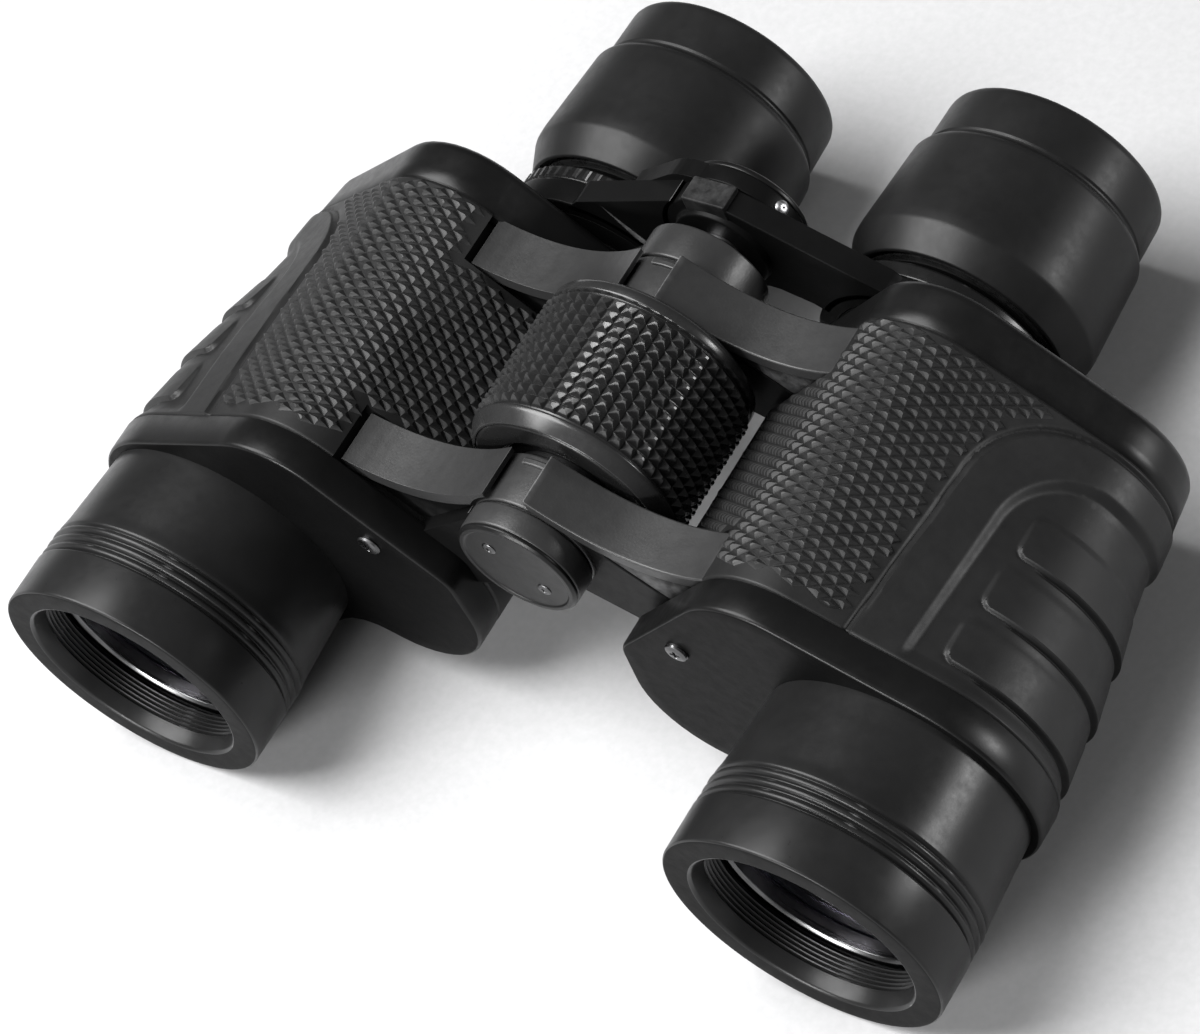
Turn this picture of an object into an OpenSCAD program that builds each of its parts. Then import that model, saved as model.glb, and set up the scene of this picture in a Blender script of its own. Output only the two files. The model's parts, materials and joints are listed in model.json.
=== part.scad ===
// Porro-prism binoculars, 8x40 class, central focusing, rubber armour.
// Frame: +Z up, mm. The hinge axis runs along Y, front rims towards -Y, eyecups towards +Y.
// "left" is the barrel of the user's left eye (+X), "right" the barrel on -X.
// Inside the modules y is counted from the front rims and z from the hinge axis.

/* [Optical layout] */
// Distance between the two eyepiece axes at the resting hinge angle
eye_spacing = 65; // [64:0.5:67]
// Distance between the two objective axes at the resting hinge angle
objective_spacing = 133.2; // [132:0.2:134]
// Depth of the eyepiece axes below the hinge axis
eye_drop = 21.8; // [21:0.1:22.4]
// Depth of the objective axes below the hinge axis
objective_drop = 20; // [19.4:0.1:20.6]
// Length from the front rims to the ends of the eyecups, turned down
total_length = 145; // [144:0.5:148]

/* [Prism housing] */
// Radius of the housing round the objective axis, at the front plate
outer_lobe_r = 24.6; // [24.3:0.1:25.2]
// Radius of the housing round the eyepiece axis
inner_lobe_r = 16.2; // [15.8:0.1:16.4]
// Radius of the housing over the top of the prisms
top_lobe_r = 15; // [14.6:0.1:15.6]
// Front face of the housing
plate_y = 31.2; // [30.6:0.1:31.6]
// Front edge of the rubber armour
armour_front_y = 37.2; // [36.6:0.1:37.8]
// Rear edge of the rubber armour
armour_rear_y = 88.5; // [87.5:0.1:89]
// Rear face of the housing
rear_face_y = 97; // [96:0.1:97.4]
// Thickness of the rubber armour
armour_t = 2; // [1.8:0.1:2.2]
// Thickness of the cast and moulded walls
wall = 2; // [1.8:0.1:2.2]

/* [Objectives] */
// Outer radius of the objective tube at its front rim
rim_r = 24.3; // [23.8:0.1:24.4]
// Outer radius of the objective tube where it meets the front plate
tube_r = 22.8; // [22.4:0.1:23.2]
// Clear radius of the front opening
opening_r = 18.3; // [17.6:0.1:18.6]
// Radius of the objective lens
objective_lens_r = 20; // [19.6:0.1:20.2]

/* [Hinge and focusing] */
// Radius of the hinge knuckles and of the front cap
knuckle_r = 11; // [10.5:0.1:11.4]
// Radius of the hinge axle
axle_r = 6; // [5.5:0.1:6.5]
// Radius of the focusing wheel over its grip
wheel_r = 19.2; // [18:0.1:19.4]
// Length of the focusing wheel
wheel_length = 29.6; // [28:0.1:29.8]
// Radius of the sliding focusing rod
rod_r = 4; // [3.5:0.1:4.4]
// Width of the strip arms of the hinge
arm_width = 9.4; // [9:0.1:9.5]

/* [Eyepieces] */
// Outer radius of the sliding eyepiece tube
slide_r = 11.6; // [11:0.1:11.7]
// Radius of the eyepiece body that the bridge's rings clamp
holder_r = 17; // [16.6:0.1:17.2]
// Largest radius of the eyecup
eyecup_r = 22.35; // [21.8:0.05:22.6]
// Radius of the eyecup's lip
lip_r = 20.1; // [19.6:0.1:20.4]
// Radius of the eye lens
eye_lens_r = 10.5; // [10:0.1:11]
// Rise of the eyecups when they are turned up
eyecup_rise = 8; // [6:0.5:8]

/* [Fits] */
// Radial running clearance of turning and sliding parts
fit = 0.05; // [0.03:0.01:0.08]

/* [Hidden] */
$fn = 96;

eye_x = eye_spacing / 2;
objective_x = objective_spacing / 2;
eye = [eye_x, -eye_drop];
objective = [objective_x, -objective_drop];
hinge_z = objective_drop + outer_lobe_r;

// The light path steps sideways from the objective axis to a middle axis, then to the eye axis.
path = eye - objective;
middle = (eye + objective) / 2 + [-path[1], path[0]] * -0.5;
step_length = norm(middle - objective);
prism_r = 11;
shelf_y = 61.5;
shelf_t = 1.2;
apex_depth = step_length - 0.6;

// Circles [x, z, r] that make up the housing's outline.
top_lobe = [middle[0] - 1.4, middle[1] + 2.6, top_lobe_r];
corner_lobe = [22.2, -13.4, 5.4];
inner_lobe = [eye[0], eye[1], inner_lobe_r];
fillet_r = 10;
screw = [30.4, -5];

// The outer lobe gets smaller towards the rear: [start, end, radius] of each step.
pads = [[armour_front_y, 41, outer_lobe_r - 0.5], [41, 51, outer_lobe_r - 1.3],
        [51, 61.2, outer_lobe_r - 2.5], [61.2, armour_rear_y, outer_lobe_r - 4.4]];
rear_lobe_r = outer_lobe_r - 5.8;
shell_end_y = 90.5;
// Boss on the rear cover that guides the sliding eyepiece tube.
boss_r = slide_r + 2.4;

// The shell under the armour has one step in its outer lobe.
shell_steps = [[plate_y + wall, 51, outer_lobe_r - 1.3], [51, shell_end_y, rear_lobe_r]];

knuckle_front = [33.9, 38.2, 38.5, 48];
knuckle_rear = [79, 88.5, 88.8, 95.5];
wheel_y = 48.7;
// The hinge arms: webs run from the knuckle to a foot inside the housing.
web_hub = [0, 0, knuckle_r - 1.2];
web_foot = [23.5, -13, 6];
web_t = 4.8;
arm_front_y = 38.3;
arm_rear_y = 79.3;
bridge_y = 100;
bridge_t = 4.6;
hub_end_y = 108;
holder_end_y = 107.9;
bridge_ring_r = 20.2;
neck_r = 6.5;
screw_at = [-3.6, 3.6];
cup_y = 109.7;
barrel_end_y = 131;

cast = [0.10, 0.10, 0.105];
rubber = [0.07, 0.07, 0.07];
metal = [0.55, 0.56, 0.58];
glass = [0.6, 0.75, 0.85, 0.45];

function unit(v) = v / norm(v);
function turn_left(v) = [-v[1], v[0]];
function centre(c) = [c[0], c[1]];
function grown(c, g) = [c[0], c[1], c[2] + g];

// Angle of the outward normal of the straight run from circle a to circle b, anticlockwise.
function run_angle(a, b) =
    let (u = unit(centre(b) - centre(a)),
         k = (a[2] - b[2]) / norm(centre(b) - centre(a)),
         n = u * k + [u[1], -u[0]] * sqrt(1 - k * k))
    atan2(n[1], n[0]);

// Centre of a circle of radius f that touches the circles a and b from below.
function nestled(a, b, f) =
    let (d = norm(centre(b) - centre(a)), da = a[2] + f, db = b[2] + f,
         along = (da * da - db * db + d * d) / (2 * d),
         u = unit(centre(b) - centre(a)))
    centre(a) + u * along - turn_left(u) * sqrt(da * da - along * along);

function arc(c, r, from, to, n) =
    [for (i = [0:n]) let (a = from + (to - from) * i / n) c + r * [cos(a), sin(a)]];

function angle_to(from, to) = atan2((to - from)[1], (to - from)[0]);

// Arc round the circle c between two angles, anticlockwise, with a point every 12 degrees or so.
function round_stretch(c, from, to) =
    let (end = to < from ? to + 360 : to)
    arc(centre(c), c[2], from, end, max(2, ceil((end - from) / 12)));

// Points of a lens face: sagitta s at the rim radius r, from the rim to the axis.
function lens_face(r, y, s) =
    [for (i = [8:-1:0]) let (q = r * i / 8) [q, y + s * (1 - (q / r) * (q / r))]];

// Outline of one barrel's housing, grown by g, with outer lobe radius r.
module outline(g = 0, r = outer_lobe_r) {
    outer = [objective[0], objective[1], r + g];
    top = grown(top_lobe, g);
    corner = grown(corner_lobe, g);
    inner = grown(inner_lobe, g);
    waist = nestled(inner, outer, fillet_r - g);
    to_top = run_angle(outer, top);
    to_corner = run_angle(top, corner);
    to_inner = run_angle(corner, inner);
    at_inner = angle_to(centre(inner), waist);
    at_outer = angle_to(centre(outer), waist);
    polygon(concat(round_stretch(outer, at_outer, to_top),
                   round_stretch(top, to_top, to_corner),
                   round_stretch(corner, to_corner, to_inner),
                   round_stretch(inner, to_inner, at_inner),
                   arc(waist, fillet_r - g, at_inner + 180, at_outer + 180, 6)));
}

// Plate outline round two circles and the straight runs between them.
module strap(a, b) {
    there = run_angle(a, b);
    back = run_angle(b, a);
    polygon(concat(round_stretch(a, back, there), round_stretch(b, there, back)));
}

module along_y(from, to) {
    translate([0, to, 0])
        rotate([90, 0, 0])
            linear_extrude(to - from)
                children();
}

module turned(c = [0, 0]) {
    translate([c[0], 0, c[1]])
        rotate([-90, 0, 0])
            rotate_extrude()
                children();
}

module ring(c, inner_r, outer_r, from, to) {
    turned(c)
        translate([inner_r, from])
            square([outer_r - inner_r, to - from]);
}

module rod(c, r, from, to) {
    turned(c)
        translate([0, from])
            square([r, to - from]);
}

module placed() {
    translate([0, -total_length / 2, hinge_z])
        children();
}

module left() {
    placed()
        children();
}

module right() {
    placed()
        mirror([1, 0, 0])
            children();
}

// ---- prism housing ----

module front_cover(is_left) {
    difference() {
        along_y(plate_y, armour_front_y)
            outline();
        shell_form(0);
        rod(objective, objective_lens_r + 0.6, plate_y - 1, plate_y + wall + 1);
        rod(screw, 1.25, plate_y - 1, plate_y + wall + 1);
        arm_room(is_left);
    }
}

module cover_screw() {
    rod(screw, 1.2, plate_y, plate_y + 5);
    difference() {
        rod(screw, 2.1, plate_y - 0.9, plate_y);
        for (slot = [[2.6, 0.5], [0.5, 2.6]])
            along_y(plate_y - 1, plate_y - 0.4)
                translate([screw[0] - slot[0] / 2, screw[1] - slot[1] / 2])
                    square(slot);
    }
}

// The same stretches as shell_steps, as solids grown by g.
module shell_form(g) {
    for (p = shell_steps)
        along_y(p[0], p[1])
            outline(-armour_t + g, p[2]);
}

module shell() {
    difference() {
        shell_form(0);
        translate([0, -0.01, 0])
            shell_form(-wall);
        along_y(shell_end_y - 1, shell_end_y + 1)
            outline(-armour_t - wall, rear_lobe_r);
    }
    // Boss that takes the front cover's screw.
    difference() {
        intersection() {
            rod(screw, 4, plate_y + wall, plate_y + 6);
            along_y(plate_y, plate_y + 7)
                outline(-armour_t);
        }
        rod(screw, 1.25, plate_y, plate_y + 5.2);
    }
}

// Height of the concave upper face of a hinge arm at distance x from the hinge axis.
function arm_top(x) = 5 + 0.018 * pow(x - 24.5, 2);

// Strip of a hinge arm, from x0 to the top of the housing.
module arm_strip(x0) {
    xs = [for (i = [0:12]) x0 + (35.5 - x0) * i / 12];
    polygon(concat([for (x = xs) [x, arm_top(x)]],
                   [[35.5, 2], [29, arm_top(29) - 3]],
                   [for (i = [8:-1:0]) [xs[i], arm_top(xs[i]) - 3]]));
}

// Web under a strip: a plate from the knuckle to the housing's inner corner, clear of the
// eyepiece tube's boss, grown by g.
module arm_web(g = 0) {
    difference() {
        strap(grown(web_hub, g), grown(web_foot, g));
        translate(eye)
            circle(r = boss_r + 0.4 - 2 * g);
    }
}

// Stiffening rib between the web and the strip above it.
module arm_rib() {
    xs = [for (i = [0:8]) 9 + 26 * i / 8];
    polygon(concat([for (x = xs) [x, arm_top(x) - 1.5]], [[36, 0], [24, -12], [9, -3]]));
}

// The left barrel's arm carries the inner knuckle, and the strip runs right up to it.
module arm_left(y, knuckle) {
    difference() {
        union() {
            along_y(y, y + arm_width)
                arm_strip(3);
            along_y(y + 0.7, y + web_t)
                arm_web();
            along_y(y + 0.7, y + web_t)
                arm_rib();
            rod([0, 0], knuckle_r, knuckle[0], knuckle[1]);
        }
        rod([0, 0], axle_r + fit, y - 1, y + arm_width + 1);
    }
}

// The right barrel's arm carries the outer knuckle, and its strip stops short of the other one.
module arm_right(y, knuckle) {
    web_from = min(knuckle[0], y + 0.7);
    web_to = max(knuckle[1], y + web_t);
    rib_to = min(web_to, y + arm_width);
    difference() {
        union() {
            difference() {
                union() {
                    along_y(y, y + arm_width)
                        arm_strip(5.2);
                    along_y(web_from, web_to)
                        arm_web();
                    along_y(y + 0.7, rib_to)
                        arm_rib();
                }
                rod([0, 0], knuckle_r + 0.6, y - 0.1, y + arm_width + 0.25);
            }
            rod([0, 0], knuckle_r, knuckle[0], knuckle[1]);
        }
        rod([0, 0], axle_r + fit, knuckle[0] - 1, knuckle[1] + 1);
    }
}

module housing(is_left) {
    difference() {
        if (is_left) {
            arm_left(arm_front_y, [knuckle_front[2], knuckle_front[3]]);
            arm_left(arm_rear_y, [knuckle_rear[0], knuckle_rear[1]]);
        } else {
            arm_right(arm_front_y, [knuckle_front[0], knuckle_front[1]]);
            arm_right(arm_rear_y, [knuckle_rear[2], knuckle_rear[3]]);
        }
        shell_form(-1);
    }
    shell();
}

// Room left in the armour and covers for the arms and webs.
module arm_room(is_left) {
    gap = 0.1;
    for (y = [arm_front_y, arm_rear_y]) {
        along_y(y - gap, y + arm_width + gap)
            polygon([[3, 30], [35.6, 30], [35.6, 1.9], [28, 0], [24, 0], [10, 6]]);
        rib_to = is_left || y == arm_front_y ? y + web_t : y + arm_width;
        along_y(y + 0.7 - gap, rib_to + gap)
            polygon([[6, 8], [36.1, 10], [36.1, 0], [24, -12.1], [9, -3.1]]);
    }
    webs = is_left ? [[arm_front_y + 0.7, arm_front_y + web_t],
                      [arm_rear_y + 0.7, arm_rear_y + web_t]]
                   : [[knuckle_front[0], arm_front_y + web_t],
                      [arm_rear_y + 0.7, knuckle_rear[3]]];
    for (w = webs)
        along_y(w[0] - gap, w[1] + gap)
            arm_web(gap);
}

module armour(is_left) {
    difference() {
        for (p = pads)
            along_y(p[0], p[1])
                outline(0, p[2]);
        shell_form(0);
        arm_room(is_left);
    }
}

module rear_cover(is_left) {
    difference() {
        union() {
            along_y(armour_rear_y, rear_face_y - wall)
                difference() {
                    outline(0, rear_lobe_r);
                    outline(-armour_t, rear_lobe_r);
                }
            along_y(rear_face_y - wall, rear_face_y - 1)
                outline(0, rear_lobe_r);
            along_y(rear_face_y - 1, rear_face_y)
                outline(-1, rear_lobe_r);
            rod(eye, boss_r, shell_end_y + 0.1, rear_face_y + 1.2);
        }
        rod(eye, slide_r + fit, shell_end_y - 1, rear_face_y + 2);
        arm_room(is_left);
    }
}

// ---- objective ----

module objective_tube() {
    lens_seat_y = 20;
    turned(objective)
        polygon([[opening_r, 1.6], [opening_r + 1.1, 0.3], [rim_r - 1.6, 0], [rim_r - 0.5, 0.4],
                 [rim_r, 1.4], [rim_r, 9.2], [rim_r - 0.5, 9.6], [rim_r - 0.5, 10.2],
                 [rim_r, 10.6], [rim_r, 11.2], [rim_r - 0.5, 11.6], [rim_r - 0.5, 12.2],
                 [rim_r, 12.6], [rim_r, 13.2], [rim_r - 0.5, 13.6], [rim_r - 0.5, 14.2],
                 [rim_r - 0.1, 14.8], [tube_r, plate_y], [objective_lens_r + 0.55, plate_y],
                 [objective_lens_r + 0.55, plate_y + wall], [objective_lens_r - 1.6, plate_y + wall],
                 [objective_lens_r - 1.6, lens_seat_y], [objective_lens_r + fit, lens_seat_y],
                 [objective_lens_r + fit, 6.5], [opening_r, 5.5]]);
}

module objective_ring() {
    turned(objective)
        polygon([[opening_r - 0.2, 9.2], [opening_r + 0.4, 8.6], [objective_lens_r, 8.6],
                 [objective_lens_r, 11.4], [opening_r - 0.2, 11]]);
}

module objective_crown() {
    turned(objective)
        polygon(concat([[objective_lens_r, 15]], lens_face(objective_lens_r, 11.4, -1.9),
                       [[0, 17.2]], [for (i = [1:8]) [objective_lens_r * i / 8,
                       17.2 - 2.2 * pow(i / 8, 2)]]));
}

module objective_flint() {
    turned(objective)
        polygon(concat([for (i = [8:-1:0]) [objective_lens_r * i / 8, 17.22 - 2.2 * pow(i / 8, 2)]],
                       [[0, 19.2], [objective_lens_r, 20]]));
}

// ---- prisms ----

// A right-angle prism with rounded ends; light enters and leaves at a and b, apex depth d.
module prism(a, b, y, d, to_rear) {
    mid = (a + b) / 2;
    angle = atan2((b - a)[1], (b - a)[0]);
    intersection() {
        along_y(min(y, y + (to_rear ? d : -d)), max(y, y + (to_rear ? d : -d)))
            polygon(concat(arc(a, prism_r, angle + 90, angle + 270, 16),
                           arc(b, prism_r, angle - 90, angle + 90, 16)));
        translate([mid[0], y, mid[1]])
            rotate([0, -angle, 0])
                translate([0, 0, -prism_r - 2])
                    linear_extrude(2 * prism_r + 4)
                        polygon([[-d, 0], [d, 0], [0, to_rear ? d : -d]]);
    }
}

// Sheet-metal strap over a prism's apex.
module prism_clip(a, b, y, d, to_rear) {
    mid = (a + b) / 2;
    angle = atan2((b - a)[1], (b - a)[0]);
    s = to_rear ? 1 : -1;
    w = prism_r + 0.1;
    translate([mid[0], y, mid[1]])
        rotate([0, -angle, 0])
            translate([-3, 0, 0])
                rotate([90, 0, 90])
                    linear_extrude(6)
                        polygon([[0, -w], [s * (d + 0.1), -w], [s * (d + 0.1), w], [0, w],
                                 [0, w + 0.5], [s * (d + 0.6), w + 0.5],
                                 [s * (d + 0.6), -w - 0.5], [0, -w - 0.5]]);
}

module prism_shelf() {
    difference() {
        along_y(shelf_y, shelf_y + shelf_t)
            outline(-armour_t - wall - 0.05, rear_lobe_r);
        for (c = [objective, middle, eye])
            rod(c, prism_r - 1, shelf_y - 1, shelf_y + shelf_t + 1);
    }
}

module prism_clips() {
    prism_clip(objective, middle, shelf_y + shelf_t, apex_depth, true);
    prism_clip(middle, eye, shelf_y, apex_depth, false);
}

// ---- eyepieces ----

module eyepiece_holder() {
    turned(eye)
        polygon([[slide_r - 0.95, 88], [slide_r, 88], [slide_r, bridge_y], [holder_r, bridge_y],
                 [holder_r, holder_end_y], [slide_r - 0.95, holder_end_y]]);
}

module eyepiece_barrel() {
    tube = slide_r - 0.95 - fit;
    turned(eye)
        polygon([[tube - 1.2, 92], [tube, 92], [tube, cup_y], [holder_r, cup_y],
                 [holder_r, barrel_end_y], [eye_lens_r - 0.8, barrel_end_y],
                 [eye_lens_r - 0.8, barrel_end_y - 1.5], [eye_lens_r + 0.02, barrel_end_y - 1.8],
                 [eye_lens_r + 0.02, 121], [tube - 1.2, 119]]);
}

module field_lens() {
    r = slide_r - 2.2 - fit;
    turned(eye)
        polygon(concat([[0, 110], [r, 110]], lens_face(r, 106, -1.6)));
}

module eye_lens() {
    turned(eye)
        polygon(concat([[0, 121], [eye_lens_r, 121]], lens_face(eye_lens_r, 126, 2)));
}

// Ring between the bridge and the eyecup; on the right eyepiece it sets the dioptre.
module collar() {
    start = bridge_y + bridge_t + 0.2;
    turned(eye)
        polygon([[holder_r + fit, start], [19.4, start], [19.8, start + 0.4],
                 [19.8, holder_end_y - 0.4], [19.4, holder_end_y], [holder_r + fit, holder_end_y]]);
}

module eyecup_cam() {
    ring(eye, holder_r + fit, holder_r + 1.2, cup_y + 0.3, cup_y + 6);
}

module eyecup_core() {
    turned(eye)
        polygon([[holder_r + 1.2 + fit, cup_y + 1], [holder_r + 2.3, cup_y + 1],
                 [holder_r + 2.3, 140], [14, 140], [14, 138.6], [holder_r + fit, 138.6],
                 [holder_r + fit, cup_y + eyecup_rise], [holder_r + 1.2 + fit, cup_y + eyecup_rise]]);
}

module eyecup_rubber() {
    turned(eye)
        polygon(concat([[holder_r + 2.32, cup_y], [lip_r - 0.3, cup_y],
                        [eyecup_r - 0.3, cup_y + 5.2], [eyecup_r, cup_y + 6],
                        [eyecup_r - 1.1, 134.2], [eyecup_r - 1.6, 134.8], [lip_r, 135.4]],
                       arc([lip_r - 1.7, total_length - 1.7], 1.7, 0, 170, 8),
                       [[15.2, 141.4], [15.2, 140.02], [holder_r + 2.32, 140.02]]));
}

// ---- hinge, focusing wheel and bridge ----

module hinge_axle_solid() {
    ring([0, 0], rod_r + fit, axle_r, knuckle_front[0] + 0.1, knuckle_rear[3] - 0.1);
}

module hinge_cap_solid() {
    turned()
        polygon([[0, 32.9], [knuckle_r - 0.6, 32.9], [knuckle_r - 0.1, 33.4],
                 [knuckle_r - 0.1, 33.85], [axle_r - 0.2, 33.85], [axle_r - 0.2, 33.95],
                 [rod_r, 33.95], [rod_r, 38], [0, 38]]);
}

module hinge_washers_solid() {
    for (y = [knuckle_front[1] + 0.05, knuckle_rear[1] + 0.05])
        ring([0, 0], axle_r + fit, knuckle_r - 1, y, y + 0.2);
}

module wheel_core_solid() {
    turned()
        polygon([[axle_r + fit + 3, wheel_y], [wheel_r - 2.6, wheel_y], [wheel_r - 2.2, wheel_y + 0.4],
                 [wheel_r - 2.2, wheel_y + wheel_length - 0.4],
                 [wheel_r - 2.6, wheel_y + wheel_length],
                 [axle_r + fit + 3, wheel_y + wheel_length]]);
}

module wheel_grip_solid() {
    turned()
        polygon([[wheel_r - 2.15, wheel_y + 0.2], [wheel_r - 1.9, wheel_y + 0.2],
                 [wheel_r - 0.6, wheel_y + 2.4], [wheel_r, wheel_y + 3.2],
                 [wheel_r, wheel_y + wheel_length - 1.6], [wheel_r - 0.8, wheel_y + wheel_length - 0.2],
                 [wheel_r - 2.15, wheel_y + wheel_length - 0.2]]);
}

module focus_nut_solid() {
    ring([0, 0], axle_r + fit, axle_r + fit + 2.95, wheel_y, wheel_y + wheel_length);
}

module focus_rod_solid() {
    rod([0, 0], rod_r, 62, hub_end_y - 3.2);
}

// Flat arm of the bridge in outline, from the hub to the eyepiece.
module bridge_outline() {
    polygon([[2, 11.1], [7, 9.1], [31, -0.6], [42, -8], [24, -14], [9, 2]]);
    translate(eye)
        circle(r = bridge_ring_r);
}

module bridge_hub() {
    difference() {
        union() {
            turned()
                polygon([[0, 99], [knuckle_r - 0.5, 99], [knuckle_r, 99.5],
                         [knuckle_r, bridge_y + bridge_t], [neck_r, bridge_y + bridge_t],
                         [neck_r, hub_end_y], [0, hub_end_y]]);
            along_y(bridge_y, bridge_y + bridge_t)
                difference() {
                    bridge_outline();
                    translate(eye)
                        circle(r = holder_r + 0.02);
                }
        }
        rod([0, 0], rod_r + 0.02, 98, hub_end_y - 3.1);
        for (x = screw_at)
            rod([x, 0], 1.1, hub_end_y - 3, hub_end_y + 1);
    }
}

module bridge_arm() {
    step = bridge_y + bridge_t + 0.1;
    difference() {
        union() {
            along_y(bridge_y, step)
                difference() {
                    bridge_outline();
                    circle(r = knuckle_r + 0.8);
                }
            rod([0, 0], knuckle_r, step, hub_end_y - 0.05);
            along_y(step, hub_end_y - 0.05)
                polygon([[0, 10.2], [7, 9.1], [18, 4.6], [18, -2], [9, 2]]);
        }
        rod([0, 0], neck_r + fit, step - 1, hub_end_y + 1);
        rod(eye, holder_r + 0.02, bridge_y - 1, hub_end_y + 1);
    }
}

module bridge_cap_solid() {
    difference() {
        turned()
            polygon([[0, hub_end_y], [knuckle_r - 0.2, hub_end_y], [knuckle_r - 0.2, hub_end_y + 0.8],
                     [knuckle_r - 0.8, hub_end_y + 1.4], [0, hub_end_y + 1.4]]);
        for (x = screw_at)
            rod([x, 0], 1.1, hub_end_y - 1, hub_end_y + 3);
    }
}

module bridge_screws_solid() {
    for (x = screw_at) {
        rod([x, 0], 1.05, hub_end_y - 2.8, hub_end_y + 1.4);
        rod([x, 0], 1.9, hub_end_y + 1.4, hub_end_y + 2.2);
    }
}

// ---- sub-parts ----

module front_cover_left() {
    color(cast)
        left()
            front_cover(true);
}

module front_cover_right() {
    color(cast)
        right()
            front_cover(false);
}

module housing_left() {
    color(cast)
        left()
            housing(true);
}

module housing_right() {
    color(cast)
        right()
            housing(false);
}

module armour_left() {
    color(rubber)
        left()
            armour(true);
}

module armour_right() {
    color(rubber)
        right()
            armour(false);
}

module rear_cover_left() {
    color(cast)
        left()
            rear_cover(true);
}

module rear_cover_right() {
    color(cast)
        right()
            rear_cover(false);
}

module cover_screw_left() {
    color(metal)
        left()
            cover_screw();
}

module cover_screw_right() {
    color(metal)
        right()
            cover_screw();
}

module objective_tube_left() {
    color(cast)
        left()
            objective_tube();
}

module objective_tube_right() {
    color(cast)
        right()
            objective_tube();
}

module objective_ring_left() {
    color(cast)
        left()
            objective_ring();
}

module objective_ring_right() {
    color(cast)
        right()
            objective_ring();
}

module objective_crown_left() {
    color(glass)
        left()
            objective_crown();
}

module objective_crown_right() {
    color(glass)
        right()
            objective_crown();
}

module objective_flint_left() {
    color(glass)
        left()
            objective_flint();
}

module objective_flint_right() {
    color(glass)
        right()
            objective_flint();
}

module prism_front_left() {
    color(glass)
        left()
            prism(middle, eye, shelf_y, apex_depth, false);
}

module prism_front_right() {
    color(glass)
        right()
            prism(middle, eye, shelf_y, apex_depth, false);
}

module prism_rear_left() {
    color(glass)
        left()
            prism(objective, middle, shelf_y + shelf_t, apex_depth, true);
}

module prism_rear_right() {
    color(glass)
        right()
            prism(objective, middle, shelf_y + shelf_t, apex_depth, true);
}

module prism_shelf_left() {
    color(metal)
        left()
            prism_shelf();
}

module prism_shelf_right() {
    color(metal)
        right()
            prism_shelf();
}

module prism_clips_left() {
    color(metal)
        left()
            prism_clips();
}

module prism_clips_right() {
    color(metal)
        right()
            prism_clips();
}

module eyepiece_holder_left() {
    color(cast)
        left()
            eyepiece_holder();
}

module eyepiece_holder_right() {
    color(cast)
        right()
            eyepiece_holder();
}

module eyepiece_barrel_left() {
    color(cast)
        left()
            eyepiece_barrel();
}

module eyepiece_barrel_right() {
    color(cast)
        right()
            eyepiece_barrel();
}

module field_lens_left() {
    color(glass)
        left()
            field_lens();
}

module field_lens_right() {
    color(glass)
        right()
            field_lens();
}

module eye_lens_left() {
    color(glass)
        left()
            eye_lens();
}

module eye_lens_right() {
    color(glass)
        right()
            eye_lens();
}

module eyecup_cam_left() {
    color(cast)
        left()
            eyecup_cam();
}

module eyecup_cam_right() {
    color(cast)
        right()
            eyecup_cam();
}

module eyecup_core_left() {
    color(cast)
        left()
            eyecup_core();
}

module eyecup_core_right() {
    color(cast)
        right()
            eyecup_core();
}

module eyecup_rubber_left() {
    color(rubber)
        left()
            eyecup_rubber();
}

module eyecup_rubber_right() {
    color(rubber)
        right()
            eyecup_rubber();
}

module eyepiece_collar() {
    color(cast)
        left()
            collar();
}

module dioptre_ring() {
    color(cast)
        right()
            collar();
}

module hinge_axle() {
    color(metal)
        placed()
            hinge_axle_solid();
}

module hinge_cap() {
    color(cast)
        placed()
            hinge_cap_solid();
}

module hinge_washers() {
    color(metal)
        placed()
            hinge_washers_solid();
}

module wheel_core() {
    color(cast)
        placed()
            wheel_core_solid();
}

module wheel_grip() {
    color(rubber)
        placed()
            wheel_grip_solid();
}

module focus_nut() {
    color(metal)
        placed()
            focus_nut_solid();
}

module focus_rod() {
    color(metal)
        placed()
            focus_rod_solid();
}

module bridge_cap() {
    color(cast)
        placed()
            bridge_cap_solid();
}

module bridge_screws() {
    color(metal)
        placed()
            bridge_screws_solid();
}

module bridge_left() {
    color(cast)
        left()
            bridge_hub();
}

module bridge_right() {
    color(cast)
        right()
            bridge_arm();
}

front_cover_left();
front_cover_right();
housing_left();
housing_right();
armour_left();
armour_right();
rear_cover_left();
rear_cover_right();
cover_screw_left();
cover_screw_right();
objective_tube_left();
objective_tube_right();
objective_ring_left();
objective_ring_right();
objective_crown_left();
objective_crown_right();
objective_flint_left();
objective_flint_right();
prism_front_left();
prism_front_right();
prism_rear_left();
prism_rear_right();
prism_shelf_left();
prism_shelf_right();
prism_clips_left();
prism_clips_right();
eyepiece_holder_left();
eyepiece_holder_right();
eyepiece_barrel_left();
eyepiece_barrel_right();
field_lens_left();
field_lens_right();
eye_lens_left();
eye_lens_right();
eyecup_cam_left();
eyecup_cam_right();
eyecup_core_left();
eyecup_core_right();
eyecup_rubber_left();
eyecup_rubber_right();
eyepiece_collar();
dioptre_ring();
hinge_axle();
hinge_cap();
hinge_washers();
wheel_core();
wheel_grip();
focus_nut();
focus_rod();
bridge_cap();
bridge_screws();
bridge_left();
bridge_right();
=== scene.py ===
import json
import math

import bmesh
import bpy
import numpy as np
from mathutils import Matrix, Vector

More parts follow.
